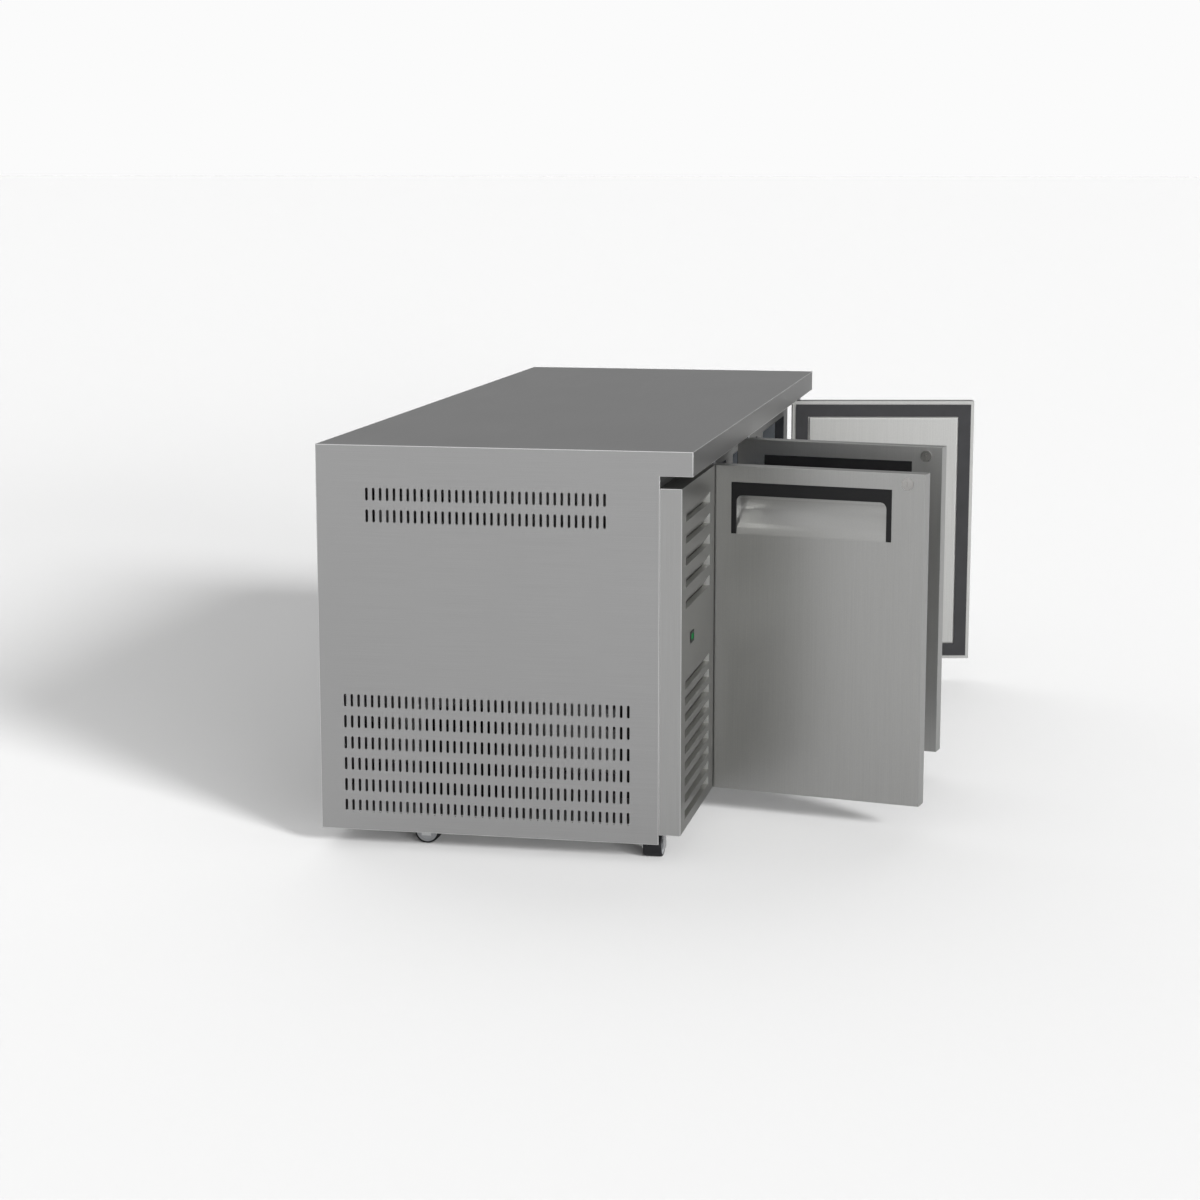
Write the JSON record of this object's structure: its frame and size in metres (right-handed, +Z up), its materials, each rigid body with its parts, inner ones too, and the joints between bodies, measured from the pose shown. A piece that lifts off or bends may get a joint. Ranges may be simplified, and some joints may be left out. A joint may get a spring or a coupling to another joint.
{
  "type": "undercounter refrigerator",
  "caption": "Low stainless steel counter refrigerator with hinged doors, recessed handles, key locks, a louvred machine end with vent slots, wire shelves and swivel castors.",
  "frame": {"origin": "on the floor, under the centre of the cabinet's footprint (the worktop's centre)", "axes": "+X along the counter towards the end away from the machine compartment, +Y from the doors to the back, +Z up"},
  "size_m": [1.8431, 1.095, 0.7569],
  "materials": {
    "brushed_steel": "fine horizontal brushing, satin",
    "inner_steel": "satin",
    "liner_steel": "satin",
    "foam": "matte, closed cell",
    "breaker_plastic": "matte",
    "gasket_rubber": "matte",
    "black_plastic": "satin",
    "display_lens": "gloss, lit green segments behind",
    "lock_chrome": "polished",
    "shelf_wire": "satin",
    "fin_aluminium": "matte fins",
    "castor_zinc": "zinc plated",
    "castor_tread": "matte",
    "compressor_paint": "semi-gloss",
    "fan_plastic": "moulded"
  },
  "bodies": {
    "cabinet": {"worktop": "brushed_steel", "side_panel_left": "brushed_steel", "side_panel_right": "brushed_steel", "rear_panel": "brushed_steel", "base_panel": "brushed_steel", "machine_partition": "brushed_steel", "insulation": "foam", "inner_liner": "liner_steel", "front_frame": "brushed_steel", "breaker_strip_1": "breaker_plastic", "breaker_strip_2": "breaker_plastic", "breaker_strip_3": "breaker_plastic", "grille_panel": "brushed_steel", "controller_bezel": "black_plastic", "controller_display": "display_lens", "shelf_1": "shelf_wire", "shelf_2": "shelf_wire", "shelf_3": "shelf_wire", "condenser": "fin_aluminium", "fan_shroud": "compressor_paint", "fan_motor": "castor_zinc", "compressor": "compressor_paint", "power_inlet": "compressor_paint", "evaporator_cover": "liner_steel", "evaporator_coil": "fin_aluminium", "hinge_top_1": "brushed_steel", "hinge_top_2": "brushed_steel", "hinge_top_3": "brushed_steel", "hinge_bottom_1": "brushed_steel", "hinge_bottom_2": "brushed_steel", "hinge_bottom_3": "brushed_steel", "castor_1_plate": "castor_zinc", "castor_2_plate": "castor_zinc", "castor_3_plate": "castor_zinc", "castor_4_plate": "castor_zinc"},
    "door_1": {"door_1_body": "brushed_steel", "door_1_inner_panel": "inner_steel", "door_1_gasket": "gasket_rubber", "door_1_handle": "black_plastic"},
    "lock_1": {"door_1_lock": "lock_chrome"},
    "door_2": {"door_2_body": "brushed_steel", "door_2_inner_panel": "inner_steel", "door_2_gasket": "gasket_rubber", "door_2_handle": "black_plastic"},
    "lock_2": {"door_2_lock": "lock_chrome"},
    "door_3": {"door_3_body": "brushed_steel", "door_3_inner_panel": "inner_steel", "door_3_gasket": "gasket_rubber", "door_3_handle": "black_plastic"},
    "lock_3": {"door_3_lock": "lock_chrome"},
    "castor_1_swivel": {"castor_1_fork": "castor_zinc"},
    "castor_1_roller": {"castor_1_wheel": "castor_tread"},
    "castor_2_swivel": {"castor_2_fork": "castor_zinc"},
    "castor_2_roller": {"castor_2_wheel": "castor_tread"},
    "castor_3_swivel": {"castor_3_fork": "castor_zinc"},
    "castor_3_roller": {"castor_3_wheel": "castor_tread"},
    "castor_4_swivel": {"castor_4_fork": "castor_zinc"},
    "castor_4_roller": {"castor_4_wheel": "castor_tread"},
    "condenser_fan": {"condenser_fan": "fan_plastic"},
    "evaporator_fan": {"evaporator_fan": "fan_plastic"}
  },
  "joints": [
    {"name": "door_1_hinge", "type": "hinge", "parent": "cabinet", "child": "door_1", "pos_m": [-0.505, -0.319, 0.372], "axis": [0, 0, 1], "range_deg": [-9, 101]},
    {"name": "door_1_lock_turn", "type": "hinge", "parent": "door_1", "child": "lock_1", "pos_m": [-0.58056, -0.70772, 0.671], "axis": [-0.9816, 0.1908, 0], "range_deg": [0, 90]},
    {"name": "door_2_hinge", "type": "hinge", "parent": "cabinet", "child": "door_2", "pos_m": [-0.0365, -0.319, 0.372], "axis": [0, 0, 1], "range_deg": [-9, 101]},
    {"name": "door_2_lock_turn", "type": "hinge", "parent": "door_2", "child": "lock_2", "pos_m": [-0.11206, -0.70772, 0.671], "axis": [-0.9816, 0.1908, 0], "range_deg": [0, 90]},
    {"name": "door_3_hinge", "type": "hinge", "parent": "cabinet", "child": "door_3", "pos_m": [0.85, -0.319, 0.372], "axis": [0, 0, -1], "range_deg": [-9, 101]},
    {"name": "door_3_lock_turn", "type": "hinge", "parent": "door_3", "child": "lock_3", "pos_m": [0.92556, -0.70772, 0.671], "axis": [0.9816, 0.1908, 0], "range_deg": [0, 90]},
    {"name": "castor_1_turn", "type": "hinge", "parent": "cabinet", "child": "castor_1_swivel", "pos_m": [-0.8275, -0.2725, 0.06], "axis": [0, 0, 1], "continuous": true},
    {"name": "castor_1_roll", "type": "hinge", "parent": "castor_1_swivel", "child": "castor_1_roller", "pos_m": [-0.8465, -0.2725, 0.024], "axis": [0, -1, 0], "continuous": true},
    {"name": "castor_2_turn", "type": "hinge", "parent": "cabinet", "child": "castor_2_swivel", "pos_m": [0.795, -0.2725, 0.06], "axis": [0, 0, 1], "continuous": true},
    {"name": "castor_2_roll", "type": "hinge", "parent": "castor_2_swivel", "child": "castor_2_roller", "pos_m": [0.776, -0.2725, 0.024], "axis": [0, -1, 0], "continuous": true},
    {"name": "castor_3_turn", "type": "hinge", "parent": "cabinet", "child": "castor_3_swivel", "pos_m": [-0.8275, 0.181, 0.06], "axis": [0, 0, 1], "continuous": true},
    {"name": "castor_3_roll", "type": "hinge", "parent": "castor_3_swivel", "child": "castor_3_roller", "pos_m": [-0.8275, 0.162, 0.024], "axis": [1, 0, 0], "continuous": true},
    {"name": "castor_4_turn", "type": "hinge", "parent": "cabinet", "child": "castor_4_swivel", "pos_m": [0.795, 0.181, 0.06], "axis": [0, 0, 1], "continuous": true},
    {"name": "castor_4_roll", "type": "hinge", "parent": "castor_4_swivel", "child": "castor_4_roller", "pos_m": [0.795, 0.162, 0.024], "axis": [1, 0, 0], "continuous": true},
    {"name": "condenser_fan_spin", "type": "hinge", "parent": "cabinet", "child": "condenser_fan", "pos_m": [-0.73, -0.2228, 0.24], "axis": [0, 1, 0], "continuous": true},
    {"name": "evaporator_fan_spin", "type": "hinge", "parent": "cabinet", "child": "evaporator_fan", "pos_m": [-0.4335, 0.09, 0.53], "axis": [1, 0, 0], "continuous": true}
  ]
}
